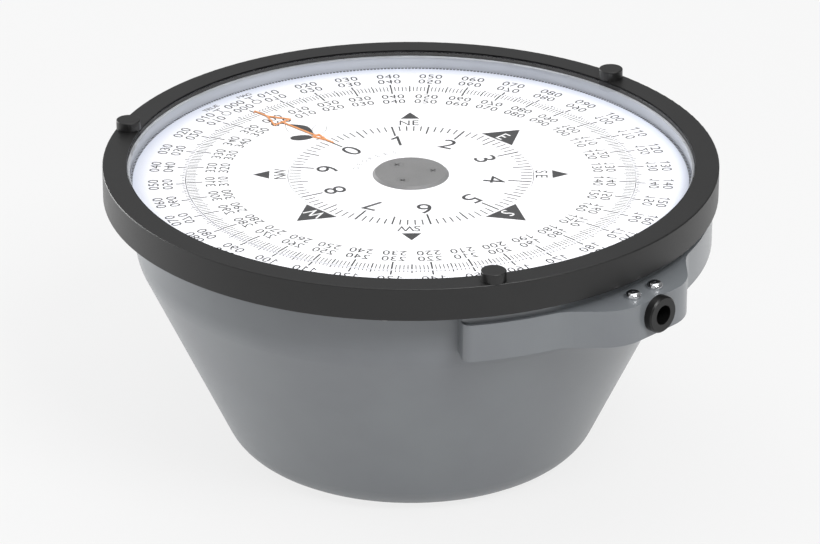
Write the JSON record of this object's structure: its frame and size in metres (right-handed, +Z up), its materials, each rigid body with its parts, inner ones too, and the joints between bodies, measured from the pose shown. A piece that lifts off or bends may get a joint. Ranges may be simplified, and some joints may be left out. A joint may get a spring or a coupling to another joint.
{
  "type": "gyro bearing repeater bowl",
  "caption": "Ship's bearing compass bowl: window and fixed bearing ring over a turning compass card and a geared fine card, with gimbal lugs fore and aft.",
  "frame": {"origin": "centre of the flat base, on the surface that the bowl stands on", "axes": "+Z up along the card axis, +Y forward towards the lubber line and the forward gimbal bush, +X to starboard"},
  "size_m": [0.2501, 0.2764, 0.1275],
  "materials": {
    "cast_bowl": "satin grey paint on a casting",
    "bezel": "satin black anodised",
    "glass": "clear",
    "seal": "matte",
    "surround": "satin white",
    "steel_screw": "plain",
    "chrome_screw": "polished",
    "bush_plastic": "moulded black",
    "ring_white": "printed white",
    "card_white": "printed white",
    "pointer_orange": "painted orange",
    "plate_alu": "plain",
    "hub_grey": "moulded grey",
    "hub_screw": "blackened",
    "steel_shaft": "ground",
    "brass_gear": "cut",
    "bronze_bush": "sintered",
    "brass_pillar": "nickelled",
    "motor_black": "blackened",
    "board_green": "solder mask",
    "chip_black": "moulded",
    "spacer_white": "nylon",
    "lamp_white": "lamp body",
    "led_clear": "clear lens",
    "connector_metal": "nickelled"
  },
  "bodies": {
    "bowl_assembly": {"bowl": "cast_bowl", "bezel_ring": "bezel", "azimuth_studs": "bezel", "window_glass": "glass", "window_gasket": "seal", "dial_surround": "surround", "bezel_gasket": "seal", "bezel_screws": "steel_screw", "gimbal_bush_fore": "bush_plastic", "gimbal_bush_aft": "bush_plastic", "bush_screws_fore": "chrome_screw", "bush_screws_aft": "chrome_screw", "bearing_ring": "ring_white", "lubber_pointer": "pointer_orange", "fine_bush": "bronze_bush", "sleeve_bush": "bronze_bush", "idler_bush_lower": "bronze_bush", "idler_bush_upper": "bronze_bush", "chassis_plate": "plate_alu", "top_plate": "plate_alu", "plate_pillars": "brass_pillar", "plate_screws": "steel_screw", "chassis_screws": "steel_screw", "motor_case": "motor_black", "motor_screws": "steel_screw", "driver_board": "board_green", "board_parts": "chip_black", "board_pillars": "brass_pillar", "board_screws": "steel_screw", "lamp_board": "board_green", "lamp_spacers": "spacer_white", "card_lamps": "lamp_white", "led_true": "led_clear", "led_mag": "led_clear", "base_connector": "connector_metal", "connector_seal": "seal", "connector_nut": "connector_metal"},
    "heading": {"compass_card": "card_white", "card_carrier": "plate_alu", "card_sleeve": "steel_shaft", "card_wheel": "brass_gear", "sleeve_inner_bush": "bronze_bush"},
    "fine": {"fine_card": "card_white", "hub_cap": "hub_grey", "hub_screws": "hub_screw", "fine_shaft": "steel_shaft", "shaft_clip": "steel_screw", "fine_pinion": "brass_gear"},
    "idler": {"idler_arbor": "steel_shaft", "idler_wheel": "brass_gear", "idler_pinion": "brass_gear"},
    "rotor": {"motor_shaft": "steel_shaft", "motor_pinion": "brass_gear"}
  },
  "joints": [
    {"name": "heading_turn", "type": "hinge", "parent": "bowl_assembly", "child": "heading", "pos_m": [0, 0, 0.11], "axis": [0, 0, 1], "continuous": true},
    {"name": "fine_turn", "type": "hinge", "parent": "bowl_assembly", "child": "fine", "pos_m": [0, 0, 0.11], "axis": [0, 0, 1], "continuous": true},
    {"name": "idler_turn", "type": "hinge", "parent": "bowl_assembly", "child": "idler", "pos_m": [-0.021, -0.03637, 0.1], "axis": [0, 0, 1], "continuous": true},
    {"name": "motor_turn", "type": "hinge", "parent": "bowl_assembly", "child": "rotor", "pos_m": [0.01847, -0.05074, 0.095], "axis": [0, 0, 1], "continuous": true}
  ],
  "couplings": [
    {"joint": "idler_turn", "follows": "heading_turn", "ratio": -6},
    {"joint": "fine_turn", "follows": "heading_turn", "ratio": 36},
    {"joint": "motor_turn", "follows": "heading_turn", "ratio": 36}
  ]
}
